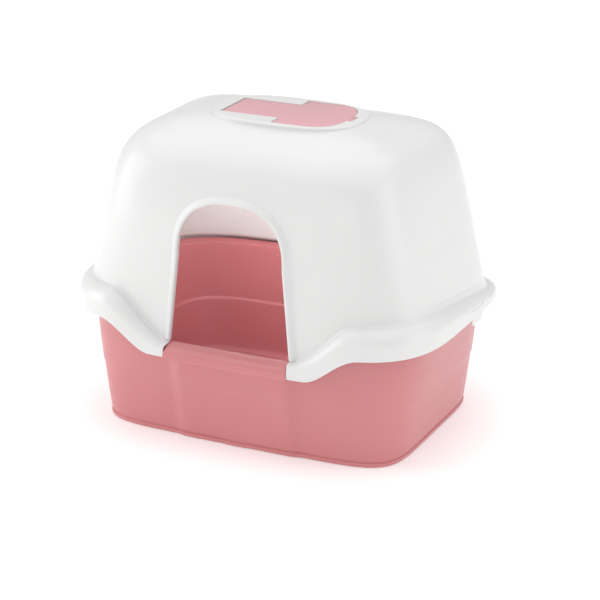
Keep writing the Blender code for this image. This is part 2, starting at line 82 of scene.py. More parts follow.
# Sill
SILL_HALF = 0.1015
SILL_CORNER = 0.006
SILL_PROFILE = (
    (-0.2215, 0.1400), (-0.2222, 0.1465), (-0.2200, 0.1525), (-0.2140, 0.1575), (-0.2060, 0.1605),
    (-0.1990, 0.1612), (-0.1945, 0.1590), (-0.1930, 0.1530), (-0.1930, 0.1400), (-0.2060, 0.1370),
)

# Hood flange
FLANGE_POWER = 4.0
EDGE_SIDE = 0.1865
EDGE_FRONT = 0.1430
EDGE_REAR_DROP = 0.0145
LEDGE_SIDE = 0.230
LEDGE_FRONT = 0.163
LEDGE_REAR_DROP = 0.035
SKIRT_SHARE = 0.42
SKIRT_LEAN = 0.20
LEDGE_FILLET = 0.006

# Hood wall and dome
HOOD_BASE_Z = 0.22875
HOOD_TOP_Z = 0.4646
HOOD_HALF = (0.2772, 0.1980)
HOOD_TAPER = (0.2401, 0.0380)
DOME_POWER = (10.0, 4.9)
HOOD_POWER = (4.46, 5.12)
ROOF_CROWN = 0.0115
CROWN_REACH = 0.60
CROWN_POWER = 1.2

# Doorway
DOOR_SILL_Z = 0.1585
DOOR_SILL_HALF = 0.099
DOOR_SPRING_Z = 0.298
DOOR_SPRING_HALF = 0.085
DOOR_TOP_Z = 0.383
DOOR_ARCH_POWER = 2.5
LIP_FOOT_Z = 0.1660
LIP_SHARE = 0.0040

# Roof frame, cover and filter
FRAME_CENTRE_X = 0.0025
FRAME_HALF = (0.1210, 0.0770)
FRAME_POWER = 2.8
FRAME_ROUND = 0.0040
FRAME_FLARE = 0.0060
FRAME_SKIN = 0.003
FRAME_WALL = (0.010, 0.0092)
TONGUE_LEFT = -0.0925
TONGUE_HALF = 0.0410
WIDE_LEFT = 0.003
WIDE_RIGHT = 0.102
WIDE_HALF = 0.067
END_BEND = 0.052
END_POWER = 0.8
COVER_TOP_Z = HEIGHT - 0.0015
COVER_THICK = 0.0028
COVER_GAP = 0.0005
COVER_LEFT_GAP = 0.0012
HINGE_X = TONGUE_LEFT + 0.0040
HINGE_Z = COVER_TOP_Z - COVER_THICK / 2
PIN_RADIUS = 0.0012
PIN_REACH = 0.0026
PIN_GAP = 0.0004
TAB_HALF = 0.0125
TAB_LEFT = 0.0965
TAB_RIGHT = 0.1095
TAB_GAP = 0.0010
TAB_BOTTOM_Z = COVER_TOP_Z - 0.0055
TAB_TOP_Z = COVER_TOP_Z - 0.0008
WELL_FLOOR_Z = 0.4652
WELL_LEDGE = 0.003
WELL_WALL = 0.0028
FILTER_THICK = 0.0075
SLOTS = 6
SLOT_RADIUS = 0.0025
SLOT_LEFT = 0.0185
SLOT_ENDS_SUM = 0.100
UNDER_ROOF_Z = 0.430
CLEAR_Z = 0.500
HOLLOW_LOW_Z = 0.440

# Side latches
LATCH_Y = 0.036
LATCH_HALF = 0.0212
LATCH_BOTTOM_Z = 0.1750
LATCH_THICK = 0.0024
LATCH_AXIS_Z = 0.1972
LATCH_BARREL = 0.0024
LATCH_GAP = 0.0004
LATCH_PIN = 0.0011
LUG_THICK = 0.0045

SMALL = 1e-7


def count(number):
    return max(int(round(number * DETAIL)), 4)


def smooth(t):
    t = np.clip(t, 0.0, 1.0)
    return t * t * (3 - 2 * t)


def superellipse(half_x, half_y, power, angle):
    c, s = np.cos(angle), np.sin(angle)
    x = half_x * np.copysign(np.abs(c) ** (2 / power), c)
    y = half_y * np.copysign(np.abs(s) ** (2 / power), s)
    return x, y


# ---------------------------------------------------------------- meshes


def new_object(name, points, faces):
    data = bpy.data.meshes.new(name)
    data.from_pydata([tuple(p) for p in points], [], faces)
    mesh = bmesh.new()
    mesh.from_mesh(data)
    bmesh.ops.recalc_face_normals(mesh, faces=mesh.faces)
    mesh.to_mesh(data)
    mesh.free()
    obj = bpy.data.objects.new(name, data)
    bpy.context.scene.collection.objects.link(obj)
    return obj


def grid_object(name, grid, closed_rows=True, closed_columns=False):
    """Mesh over grid[i, j]: i runs round the object and j along each column. The ends of open columns
    are capped, and so are the ends of open rows."""
    rows, columns = grid.shape[:2]
    index = np.arange(rows * columns).reshape(rows, columns)
    faces = []
    for i in range(rows if closed_rows else rows - 1):
        k = (i + 1) % rows
        for j in range(columns if closed_columns else columns - 1):
            m = (j + 1) % columns
            faces.append((index[i, j], index[k, j], index[k, m], index[i, m]))
    if closed_rows and not closed_columns:
        faces.append(tuple(index[:, 0]))
        faces.append(tuple(index[:, -1]))
    if closed_columns and not closed_rows:
        faces.append(tuple(index[0, :]))
        faces.append(tuple(index[-1, :]))
    faces = [tuple(int(v) for v in face) for face in faces]
    return new_object(name, grid.reshape(-1, 3), faces)


def rings_object(name, rings):
    """Closed mesh through level or upright rings with the same number of points."""
    return grid_object(name, np.transpose(np.array(rings), (1, 0, 2)))


def extrude_outline(name, outlines, axis=2):
    """Closed mesh through flat outlines, each given as (points (u, v), place along the axis)."""
    rings = []
    for outline, place in outlines:
        if axis == 2:
            rings.append([(u, v, place) for u, v in outline])
        elif axis == 1:
            rings.append([(u, place, v) for u, v in outline])
        else:
            rings.append([(place, u, v) for u, v in outline])
    return rings_object(name, rings)


def rounded_box(name, low, high, radius, segments=3):
    mesh = bmesh.new()
    bmesh.ops.create_cube(mesh, size=1.0)
    low, high = Vector(low), Vector(high)
    place = Matrix.Translation((low + high) / 2) @ Matrix.Diagonal((*(high - low), 1.0))
    bmesh.ops.transform(mesh, matrix=place, verts=mesh.verts)
    if radius:
        bmesh.ops.bevel(
            mesh, geom=mesh.edges[:], offset=radius, segments=segments, profile=0.5, affect="EDGES"
        )
    data = bpy.data.meshes.new(name)
    mesh.to_mesh(data)
    mesh.free()
    obj = bpy.data.objects.new(name, data)
    bpy.context.scene.collection.objects.link(obj)
    return obj


def rod(name, radius, start, end, sides=28, round_end=0.0):
    """Round bar from start to end, with its ends rounded by round_end."""
    start, end = np.array(start, float), np.array(end, float)
    along = (end - start) / np.linalg.norm(end - start)
    side = np.cross(along, (0.0, 0.0, 1.0))
    if np.linalg.norm(side) < 0.1:
        side = np.cross(along, (1.0, 0.0, 0.0))
    side /= np.linalg.norm(side)
    other = np.cross(along, side)
    stations = [(start, radius)]
    if round_end:
        stations = [(start, radius - round_end), (start + along * round_end, radius)]
        stations += [(end - along * round_end, radius), (end, radius - round_end)]
    else:
        stations.append((end, radius))
    rings = []
    for centre, size in stations:
        turn = np.linspace(0, 2 * np.pi, sides, endpoint=False)
        rings.append(centre + size * (np.cos(turn)[:, None] * side + np.sin(turn)[:, None] * other))
    return rings_object(name, rings)


def joined(name, objects):
    """One object made of several that don't touch each other."""
    mesh = bmesh.new()
    for obj in objects:
        mesh.from_mesh(obj.data)
        bpy.data.objects.remove(obj, do_unlink=True)
    data = bpy.data.meshes.new(name)
    mesh.to_mesh(data)
    mesh.free()
    obj = bpy.data.objects.new(name, data)
    bpy.context.scene.collection.objects.link(obj)
    return obj


def combine(obj, steps):
    """Runs the Boolean steps, each (operation, tools that don't touch each other), and keeps the result."""
    for k, (operation, tools) in enumerate(steps):
        tool = joined(f"{obj.name}_tool_{k}", tools)
        modifier = obj.modifiers.new(tool.name, "BOOLEAN")
        modifier.operation = operation
        modifier.solver = "EXACT"
        modifier.object = tool
        bpy.context.view_layer.update()
        evaluated = obj.evaluated_get(bpy.context.evaluated_depsgraph_get())
        data = bpy.data.meshes.new_from_object(evaluated)
        obj.modifiers.clear()
        obj.data = data
        bpy.data.objects.remove(tool, do_unlink=True)
    return obj


def finish_piece(obj, material, body, node, sharp=32.0):
    """Welds, shades and shifts the piece into the frame, and hides the CAD node it stands for."""
    mesh = bmesh.new()
    mesh.from_mesh(obj.data)
    bmesh.ops.remove_doubles(mesh, verts=mesh.verts, dist=SMALL)
    bmesh.ops.translate(mesh, verts=mesh.verts, vec=(0.0, BODY_Y, 0.0))
    mesh.to_mesh(obj.data)
    mesh.free()
    obj.data.materials.clear()
    obj.data.materials.append(material)
    obj.data.shade_smooth()
    obj.data.set_sharp_from_angle(angle=math.radians(sharp))
    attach(obj, body)
    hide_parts(node)
    return obj


# ---------------------------------------------------------------- shapes


def flange_outline(angle):
    half_y = np.where(np.sin(angle) < 0, FLANGE_FRONT, FLANGE_REAR)
    return superellipse(HALF_LENGTH, half_y, FLANGE_POWER, angle)


def even_angles(number):
    """Angles whose points lie evenly along the flange outline."""
    fine = np.linspace(0, 2 * np.pi, 40001)
    x, y = flange_outline(fine)
    along = np.concatenate([[0.0], np.cumsum(np.hypot(np.diff(x), np.diff(y)))])
    return np.interp(np.linspace(0, along[-1], number, endpoint=False), along, fine)


def edge_z(x, y):
    front = EDGE_FRONT + (EDGE_SIDE - EDGE_FRONT) * smooth((np.abs(x) - 0.124) / 0.088)
    rear = EDGE_SIDE - EDGE_REAR_DROP * smooth((y - 0.100) / 0.128)
    return np.where(y < 0, front, rear)


def ledge_z(x, y):
    side = LEDGE_SIDE - LEDGE_REAR_DROP * smooth((y + 0.150) / 0.378)
    front = LEDGE_FRONT + (side - LEDGE_FRONT) * smooth((np.abs(x) - 0.090) / 0.120)
    return np.where(y < 0, front, side)


def hood_sizes(z):
    """Half length, half depth and corner power of the hood's outer wall at height z."""
    s = np.clip((z - HOOD_BASE_Z) / (HOOD_TOP_Z - HOOD_BASE_Z), 0.0, 1.0)
    half = [
        (size - taper * (z - HOOD_BASE_Z)) * np.maximum(1 - s**power, 0.0) ** (1 / power)
        for size, taper, power in zip(HOOD_HALF, HOOD_TAPER, DOME_POWER)
    ]
    return half[0], half[1], HOOD_POWER[0] + (HOOD_POWER[1] - HOOD_POWER[0]) * s * s


def hood_ring_point(z, angle):
    half_x, half_y, power = hood_sizes(z)
    return superellipse(half_x, half_y, power, angle)


def roof_rise(z):
    """How far the roof's crown lifts this ring: nothing at the shoulder, most in the middle."""
    s = np.clip((z - HOOD_BASE_Z) / (HOOD_TOP_Z - HOOD_BASE_Z), 0.0, 1.0)
    share = (1 - s ** DOME_POWER[1]) ** (1 / DOME_POWER[1])
    return ROOF_CROWN * np.maximum(1 - (share / CROWN_REACH) ** 2, 0.0) ** CROWN_POWER


def roof_z(x, y):
    """Height of the crowned roof over each point of the plan."""
    low, high = np.full(len(x), 0.40), np.full(len(x), HOOD_TOP_Z)
    for _ in range(40):
        z = (low + high) / 2
        half_x, half_y, power = hood_sizes(z)
        inside = (np.abs(x) / half_x) ** power + (np.abs(y) / half_y) ** power < 1
        low, high = np.where(inside, z, low), np.where(inside, high, z)
    return low + roof_rise(low)


def wall_y(x, z):
    """y of the hood's front wall."""
    half_x, half_y, power = hood_sizes(z)
    return -half_y * (1 - np.clip(np.abs(x) / half_x, 0, 1) ** power) ** (1 / power)


def flange_profile(angle, turns, inset=0.0, drop=0.0):
    """Skirt, round shoulder and ledge in each direction: grid of points from the lower edge inward."""
    x, y = flange_outline(angle)
    low = edge_z(x, y)
    high = ledge_z(x, y)
    wall_x, wall_front = hood_ring_point(high, angle)
    inward = np.stack([wall_x - x, wall_front - y], axis=1)
    inward /= np.linalg.norm(inward, axis=1)[:, None]
    lean = inset + SKIRT_LEAN * np.maximum(EDGE_SIDE - low, 0) * (y < 0)
    out = np.stack([x, y], axis=1) + inward * lean[:, None]
    wall = np.stack([wall_x, wall_front], axis=1)
    skirt = (high - low) * SKIRT_SHARE
    rows = []
    for share in np.linspace(0.0, 1.0, count(7), endpoint=False):
        rows.append(np.column_stack([out, low + skirt * share - drop * share]))
    for turn in turns:
        flat = wall + (out - wall) * math.cos(turn)
        rows.append(np.column_stack([flat, low + skirt + (high - low - skirt) * math.sin(turn) - drop]))
    return np.stack(rows, axis=1), out, wall, low, high


def offset_shell(outer, thickness):
    """Closed columns: the given outer face, a round lip at its first row, and the inner face."""
    after, before = np.roll(outer, -1, axis=0), np.roll(outer, 1, axis=0)
    round_way = after - before
    along = np.gradient(outer, axis=1)
    normal = np.cross(round_way, along)
    normal /= np.linalg.norm(normal, axis=2)[:, :, None]
    middle = outer[:, outer.shape[1] // 2] * (1, 1, 0)
    facing = np.sum(normal[:, outer.shape[1] // 2] * middle, axis=1).mean()
    if facing < 0:
        normal = -normal
    inner = outer - normal * thickness
    down = -along[:, 0] / np.linalg.norm(along[:, 0], axis=1)[:, None]
    centre = outer[:, 0] - normal[:, 0] * thickness / 2
    lip = []
    for turn in np.linspace(0, np.pi, count(8) + 1)[1:-1]:
        lip.append(centre + thickness / 2 * (math.cos(turn) * normal[:, 0] + math.sin(turn) * down))
    lip = np.stack(lip, axis=1)
    return np.concatenate([outer[:, ::-1], lip, inner], axis=1)


def hood_shell(angles):
    turns = np.linspace(0, math.pi / 2, count(26))
    flange, out, wall, low, high = flange_profile(angles, turns)
    # The ledge runs up into the wall over a concave fillet instead of a sharp corner.
    rows = [flange[:, j] for j in range(flange.shape[1])]
    reach = np.linalg.norm(out - wall, axis=1)
    fillet = np.minimum(LEDGE_FILLET, reach * 0.35)
    kept = []
    for row in rows:
        away = np.linalg.norm(row[:, :2] - wall, axis=1)
        kept.append((away > fillet * 1.02).all())
    rows = [row for row, keep in zip(rows, kept) if keep]
    direction = (out - wall) / reach[:, None]
    fraction = fillet / reach
    skirt = (high - low) * SKIRT_SHARE
    foot = low + skirt + (high - low - skirt) * np.sqrt(1 - fraction**2)
    for turn in np.linspace(0, math.pi / 2, count(8)):
        flat = wall + direction * (fillet * (1 - math.sin(turn)))[:, None]
        z = foot + (high + fillet - foot) * (1 - math.cos(turn))
        rows.append(np.column_stack([flat, z]))
    start = high + fillet
    power = DOME_POWER[1]
    low_shares = np.linspace(0.0, 0.70, count(48), endpoint=False)[1:]
    first = math.asin(0.70 ** (power / 2))
    shares = np.concatenate([low_shares, np.sin(np.linspace(first, 1.560, count(80))) ** (2 / power)])
    for share in shares:
        z = start + (HOOD_TOP_Z - start) * share
        rows.append(np.column_stack([*hood_ring_point(z, angles), z + roof_rise(z)]))
    outer = np.stack(rows, axis=1)
    return grid_object("hood_shell", offset_shell(outer, WALL))


def door_outline(grow=0.0, foot_z=DOOR_SILL_Z, arch=72, rise=1):
    """Doorway outline, from the lower right round to the lower left."""
    slope = (DOOR_SILL_HALF - DOOR_SPRING_HALF) / (DOOR_SPRING_Z - DOOR_SILL_Z)
    foot = DOOR_SILL_HALF + slope * (DOOR_SILL_Z - foot_z) + grow
    turn = np.linspace(0, np.pi, count(arch) + 1)
    x, z = superellipse(DOOR_SPRING_HALF + grow, DOOR_TOP_Z - DOOR_SPRING_Z + grow, DOOR_ARCH_POWER, turn)
    share = np.linspace(0, 1, rise, endpoint=False)
    right_x = foot + (x[0] - foot) * share
    right_z = foot_z + (DOOR_SPRING_Z - foot_z) * share
    xs = np.concatenate([right_x, x, -right_x[::-1]])
    zs = np.concatenate([right_z, z + DOOR_SPRING_Z, right_z[::-1]])
    return np.column_stack([xs, zs])


def door_lip():
    """Ring round the doorway whose front swells out of the wall and rolls into the opening."""
    crest, radius = 0.0056, 0.0030
    profile = [(0.0, -WALL + 0.0003)]
    for turn in np.linspace(0, math.pi / 2, 7):
        profile.append((radius * (1 - math.cos(turn)), crest - radius * (1 - math.sin(turn))))
    flank = 0.0125
    for share in np.linspace(0, 1, 12)[1:]:
        fall = (crest + 0.0005) * float(smooth(share))
        profile.append((radius + (flank - radius) * share, crest + 0.0002 - fall))
    profile.append((flank, -WALL + 0.0003))
    rows = []
    for d, out in profile:
        path = door_outline(d, LIP_FOOT_Z, rise=count(36))
        y = wall_y(path[:, 0], path[:, 1]) - out
        rows.append(np.column_stack([path[:, 0], y, path[:, 1]]))
    grid = np.stack(rows, axis=1)
    return grid_object("door_lip", grid, closed_rows=False, closed_columns=True)


def door_cut():
    """Opening behind the lip: a little wider than the doorway where the lip lines it."""
    upper = door_outline(LIP_SHARE, LIP_FOOT_Z + 0.004)
    lower = door_outline(0.0003, 0.100)
    step = door_outline(0.0003, LIP_FOOT_Z + 0.004)
    outline = [tuple(lower[0]), tuple(step[0])] + [tuple(p) for p in upper]
    outline += [tuple(step[-1]), tuple(lower[-1])]
    return extrude_outline("door_cut", [(outline, -0.260), (outline, -0.120)], axis=1)


def sill_notch():
    half = SILL_HALF + 0.00035
    corner = SILL_CORNER
    outline = [(half, 0.120), (half, 0.1610 - corner)]
    for turn in np.linspace(0, math.pi / 2, 8)[1:]:
        outline.append((half - corner * (1 - math.cos(turn)), 0.1615 - corner * (1 - math.sin(turn))))
    outline += [(-x, z) for x, z in reversed(outline)]
    return extrude_outline("sill_notch", [(outline, -0.260), (outline, -0.150)], axis=1)


def oval(grow, number=112):
    turn = np.linspace(0, 2 * np.pi, number, endpoint=False)
    x, y = superellipse(FRAME_HALF[0] + grow, FRAME_HALF[1] + grow, FRAME_POWER, turn)
    return np.column_stack([x + FRAME_CENTRE_X, y])


def roof_frame():
    """Raised oval block with a concave flare at its foot and a round upper edge."""
    foot = oval(FRAME_FLARE)
    roof = roof_z(foot[:, 0], foot[:, 1])
    edge = HEIGHT - FRAME_ROUND
    levels = [(FRAME_FLARE, np.full(len(roof), 0.4615)), (FRAME_FLARE, roof - 0.0002)]
    for turn in np.linspace(0, math.pi / 2, 9)[1:]:
        levels.append((FRAME_FLARE * (1 - math.sin(turn)), roof + (edge - roof) * (1 - math.cos(turn))))
    for turn in np.linspace(0, math.pi / 2, 10)[1:]:
        z = HEIGHT - FRAME_ROUND * (1 - math.sin(turn))
        levels.append((-FRAME_ROUND * (1 - math.cos(turn)), np.full(len(roof), z)))
    rows = [np.column_stack([oval(grow), z]) for grow, z in levels]
    return rings_object("roof_frame", np.stack(rows))


def cover_outline(grow=0.0, left=0.0):
    """Plan of the cover: a square-ended tongue, then a wider part with a rounded right end."""
    tongue, wide = TONGUE_HALF + grow, WIDE_HALF + grow
    start = WIDE_LEFT - grow
    points = [(TONGUE_LEFT - left, -tongue), (start, -tongue), (start, -wide)]
    for turn in np.linspace(-math.pi / 2, math.pi / 2, 33):
        c, s = math.cos(turn), math.sin(turn)
        x = WIDE_RIGHT - END_BEND + (END_BEND + grow) * abs(c) ** END_POWER
        points.append((x, wide * math.copysign(abs(s) ** END_POWER, s)))
    points += [(start, wide), (start, tongue), (TONGUE_LEFT - left, tongue)]
    return points


def latch_seat(side):
    """Tools for one latch's place in the skirt: lugs to add, a notch and pin holes to cut."""
    ends = (LATCH_Y - LATCH_HALF - LATCH_GAP, LATCH_Y + LATCH_HALF + LATCH_GAP)
    lugs = []
    for end, away in zip(ends, (-1, 1)):
        y_near, y_far = sorted((end - away * 0.0010, end + away * LUG_THICK))
        x_near, x_far = sorted((side * (HALF_LENGTH - 0.0062), side * (HALF_LENGTH - 0.0015)))
        lugs.append(rounded_box("lug", (x_near, y_near, 0.1925), (x_far, y_far, 0.2012), 0.0006))
    x_near, x_far = sorted((side * (HALF_LENGTH - 0.0075), side * (HALF_LENGTH + 0.004)))
    top = LATCH_AXIS_Z + LATCH_BARREL + LATCH_GAP
    notch = rounded_box("notch", (x_near, ends[0], 0.160), (x_far, ends[1], top), 0.0)
    axis = side * latch_axis_x()
    reach = LATCH_HALF + 0.0032
    ends = (axis, LATCH_Y - reach, LATCH_AXIS_Z), (axis, LATCH_Y + reach, LATCH_AXIS_Z)
    holes = rod("holes", LATCH_PIN + PIN_GAP, *ends)
    return lugs, notch, holes


def latch_axis_x():
    return HALF_LENGTH - LATCH_BARREL - 0.0001


def make_hood(angles, material):
    hood = hood_shell(angles)
    left_lugs, left_notch, left_holes = latch_seat(-1)
    right_lugs, right_notch, right_holes = latch_seat(1)
    turn = np.linspace(0, 2 * np.pi, 112, endpoint=False)
    x, y = superellipse(FRAME_HALF[0] - FRAME_WALL[0], FRAME_HALF[1] - FRAME_WALL[1], FRAME_POWER, turn)
    outline = np.column_stack([x + FRAME_CENTRE_X, y])
    hollow = extrude_outline("hollow", [(outline, HOLLOW_LOW_Z), (outline, HEIGHT - FRAME_SKIN)])
    well_core = cover_outline(WELL_WALL, WELL_WALL + COVER_LEFT_GAP)
    core = extrude_outline("core", [(well_core, z) for z in (UNDER_ROOF_Z, CLEAR_Z)])
    half = TAB_HALF + TAB_GAP + WELL_WALL
    core_low = (TAB_LEFT - 0.010, -half, UNDER_ROOF_Z - 0.002)
    tab_core = rounded_box("tab_core", core_low, (TAB_RIGHT + 0.020, half, CLEAR_Z + 0.002), 0.0)
    combine(hollow, [("DIFFERENCE", [core]), ("DIFFERENCE", [tab_core])])
    low = COVER_TOP_Z - COVER_THICK - 0.0004
    recess_levels = [(COVER_GAP, low), (COVER_GAP, HEIGHT - 0.0007), (COVER_GAP + 0.0009, HEIGHT + 0.0002)]
    recess_levels.append((COVER_GAP + 0.0009, 0.520))
    recess_rings = [(cover_outline(grow, COVER_LEFT_GAP + grow), z) for grow, z in recess_levels]
    recess = extrude_outline("recess", recess_rings)
    well_plan = cover_outline(-WELL_LEDGE, COVER_LEFT_GAP)
    well = extrude_outline("well", [(well_plan, z) for z in (WELL_FLOOR_Z, CLEAR_Z)])
    half = TONGUE_HALF + COVER_GAP
    relief_low = (TONGUE_LEFT - COVER_LEFT_GAP - 0.0001, -half, HINGE_Z - 0.0055)
    relief = rounded_box("relief", relief_low, (HINGE_X + 0.0060, half, CLEAR_Z), 0.0)
    half = TAB_HALF + TAB_GAP
    tab_low = (TAB_LEFT - 0.002, -half, TAB_BOTTOM_Z - TAB_GAP)
    tab = rounded_box("tab", tab_low, (TAB_RIGHT + TAB_GAP, half, CLEAR_Z), 0.0008)
    pitch = (WIDE_HALF - WELL_LEDGE) * 2 / (SLOTS + 1)
    slots = []
    for i in range(SLOTS):
        y = pitch * (i - (SLOTS - 1) / 2)
        outline = [
            (SLOT_LEFT + SLOT_RADIUS * math.cos(t), y + SLOT_RADIUS * math.sin(t))
            for t in np.linspace(math.pi / 2, 3 * math.pi / 2, 9)
        ]
        outline += [(SLOT_ENDS_SUM - x, 2 * y - v) for x, v in outline]
        slots.append(extrude_outline(f"slot_{i}", [(outline, 0.450), (outline, 0.472)]))
    reach = TONGUE_HALF + PIN_REACH + 0.0006
    holes = rod("pin_holes", PIN_RADIUS + PIN_GAP, (HINGE_X, -reach, HINGE_Z), (HINGE_X, reach, HINGE_Z))
    combine(
        hood,
        [
            ("DIFFERENCE", [door_cut()]),
            ("UNION", [door_lip(), roof_frame(), *left_lugs, *right_lugs]),
            ("DIFFERENCE", [hollow, sill_notch(), left_notch, right_notch]),
            ("DIFFERENCE", [recess, left_holes, right_holes]),
            ("DIFFERENCE", [well]),
            ("DIFFERENCE", [relief]),
            ("DIFFERENCE", [tab, holes, *slots]),
        ],
    )
    return finish_piece(hood, material, "hood", "hood")


def pan_wall(z, angle):
    """Outer wall of the pan in plan, with the bay that swells under the sill."""
    t = z / PAN_WALL_TOP
    half_x, half_y = (base + (top - base) * t for base, top in zip(PAN_BASE_HALF, PAN_TOP_HALF))
    x, y = superellipse(half_x, half_y, PAN_POWER[0] + (PAN_POWER[1] - PAN_POWER[0]) * t, angle)
    swell = (BAY_OUT[0] + (BAY_OUT[1] - BAY_OUT[0]) * t * t) * smooth((BAY_EDGE - np.abs(x)) / BAY_FADE)
    return np.stack([x, np.where(y < 0, y - swell, y)], axis=1)


def wall_rows(levels, angle):
    """Rows of the pan's wall, each level given as (height, distance outward from the plain wall)."""
    rows = []
    for z, out in levels:
        flat = pan_wall(z, angle)
        away = flat / np.linalg.norm(flat, axis=1)[:, None]
        rows.append(np.column_stack([flat + away * out, np.full(len(angle), z)]))
    return rows


def step_levels(high, low, thickness, step):
    """Levels from high to low with a rounded step at STEP_HEIGHT and an even slope elsewhere."""
    levels = [(z, -thickness) for z in np.linspace(high, STEP_HEIGHT + 0.004, count(12))]
    for share in np.linspace(0, 1, count(10)):
        z = STEP_HEIGHT + 0.0022 - 0.0044 * share
        levels.append((z, -thickness - step * float(smooth(share))))
    levels += [(z, -thickness - step) for z in np.linspace(STEP_HEIGHT - 0.004, low, count(12))]
    return levels


def make_pan(angles, material):
    turns = np.linspace(0, math.radians(76), count(14))
    rim, *_ = flange_profile(angles, turns, RIM_INSET, RIM_DROP)
    first = count(7)
    top_face = rim[:, first - 2:]
    shoulder = top_face[:, -1, 2]
    lowest = shoulder.min() - 0.006
    # Inner face: from the rim's shoulder down to the floor, with a floor fillet.
    inner = [top_face[:, j] for j in range(top_face.shape[1])]
    drop = shoulder - 0.006
    for share in np.linspace(0, 1, count(5)):
        z = drop + (lowest - 0.004 - drop) * share
        flat = np.stack([pan_wall(h, np.array([a]))[0] for h, a in zip(z, angles)])
        away = flat / np.linalg.norm(flat, axis=1)[:, None]
        inner.append(np.column_stack([flat - away * WALL, z]))
    inner += wall_rows(step_levels(lowest - 0.008, 0.016, WALL, STEP_INSIDE), angles)
    fillet = 0.010
    for turn in np.linspace(0, math.pi / 2, count(8))[1:]:
        out = -WALL - STEP_INSIDE - fillet * (1 - math.cos(turn))
        inner += wall_rows([(WALL + fillet * (1 - math.sin(turn)), out)], angles)
    inner = np.stack(inner, axis=1)
    # Outer face: the underside of the rim, then the outer wall, the foot groove and the foot.
    after, before = np.roll(top_face, -1, axis=0), np.roll(top_face, 1, axis=0)
    normal = np.cross(after - before, np.gradient(top_face, axis=1))
    normal /= np.linalg.norm(normal, axis=2)[:, :, None]
    if normal[:, -1, 2].mean() > 0:
        normal = -normal
    under = [top_face[:, j] + normal[:, j] * WALL for j in range(top_face.shape[1])]
    outer = []
    for share in np.linspace(0, 1, count(5)):
        z = drop - WALL + (lowest - 0.004 - drop) * share
        flat = np.stack([pan_wall(h, np.array([a]))[0] for h, a in zip(z, angles)])
        outer.append(np.column_stack([flat, z]))
    outer += wall_rows(step_levels(lowest - 0.010, FOOT_HEIGHT + 0.006, 0.0, STEP_OUTSIDE), angles)
    groove = (
        (FOOT_HEIGHT + 0.0032, -STEP_OUTSIDE - 0.0001), (FOOT_HEIGHT + 0.0020, -STEP_OUTSIDE - 0.0006),
        (FOOT_HEIGHT + 0.0010, -STEP_OUTSIDE - FOOT_GROOVE),
        (FOOT_HEIGHT + 0.0002, -STEP_OUTSIDE - FOOT_GROOVE),
        (FOOT_HEIGHT - 0.0006, -0.0006), (FOOT_HEIGHT - 0.0016, 0.0), (0.0040, 0.0), (0.0022, -0.0004),
        (0.0010, -0.0012), (0.0002, -0.0026), (0.0, -0.0045),
    )
    outer += wall_rows(groove, angles)
    outer = np.stack(outer, axis=1)
    add_foot_lug(outer)
    column = np.concatenate([outer[:, ::-1], np.stack(under[::-1], axis=1), inner], axis=1)
    pan = grid_object("pan_shell", column)
    combine(pan, [("UNION", [sill()])])
    return finish_piece(pan, material, "pan", "litter_pan")


def add_foot_lug(outer):
    """Swells the foot into a small round-topped lug in the middle of the front."""
    x, y, z = outer[..., 0], outer[..., 1], outer[..., 2]
    across = smooth(1 - np.abs(x - LUG_X) / LUG_HALF)
    up = smooth((0.0125 - z) / 0.004)
    outer[..., 1] -= np.where(y < 0, LUG_OUT * across * up, 0.0)


def smooth_loop(points, steps):
    """Closed Catmull-Rom curve through the points."""
    points = np.array(points)
    curve = []
    total = len(points)
    for i in range(total):
        a, b, c, d = (points[(i + k) % total] for k in (-1, 0, 1, 2))
        for t in np.linspace(0, 1, steps, endpoint=False):
            square, cube = 2 * a - 5 * b + 4 * c - d, 3 * b - a - 3 * c + d
            curve.append(0.5 * (2 * b + (c - a) * t + square * t**2 + cube * t**3))
    return np.array(curve)


def sill():
    """Solid stretch of rolled rim between the two ends of the hood's flange."""
    profile = smooth_loop(SILL_PROFILE, count(6))
    share = np.linspace(0, 1, count(10))
    corner = SILL_CORNER * np.sin(share * math.pi / 2)
    right = SILL_HALF - SILL_CORNER + corner
    stations = np.concatenate([-right[::-1], np.linspace(-right[0], right[0], count(60))[1:-1], right])
    rows = []
    for x in stations:
        bow = FLANGE_FRONT * (1 - (1 - (abs(x) / HALF_LENGTH) ** FLANGE_POWER) ** (1 / FLANGE_POWER))
        into = max(abs(x) - (SILL_HALF - SILL_CORNER), 0.0) / SILL_CORNER
        cut = SILL_CORNER * (1 - math.sqrt(max(1 - into * into, 0.0)))
        z = profile[:, 1] - cut * smooth((profile[:, 1] - 0.140) / 0.020)
        rows.append(np.column_stack([np.full(len(profile), x), profile[:, 0] + bow, z]))
    return grid_object("sill", np.stack(rows), closed_rows=False, closed_columns=True)


def make_cover(material):
    """Cover plate with a rounded upper edge, stub hinge pins and a pull tab."""
    low = COVER_TOP_Z - COVER_THICK
    levels = [(-0.0004, low), (0.0, low + 0.0004), (0.0, COVER_TOP_Z - 0.0009)]
    levels += [(-0.00012, COVER_TOP_Z - 0.0005), (-0.0004, COVER_TOP_Z - 0.00015), (-0.0009, COVER_TOP_Z)]
    cover = extrude_outline("cover_plate", [(cover_outline(grow, grow), z) for grow, z in levels])
    reach = TONGUE_HALF + PIN_REACH
    pins = rod("cover_pins", PIN_RADIUS, (HINGE_X, -reach, HINGE_Z), (HINGE_X, reach, HINGE_Z), 24, 0.0003)
    tab_low, tab_high = (TAB_LEFT, -TAB_HALF, TAB_BOTTOM_Z), (TAB_RIGHT, TAB_HALF, TAB_TOP_Z)
    tab = rounded_box("pull_tab", tab_low, tab_high, 0.0007)
    combine(cover, [("UNION", [pins]), ("UNION", [tab])])
    return finish_piece(cover, material, "cover", "filter_cover")


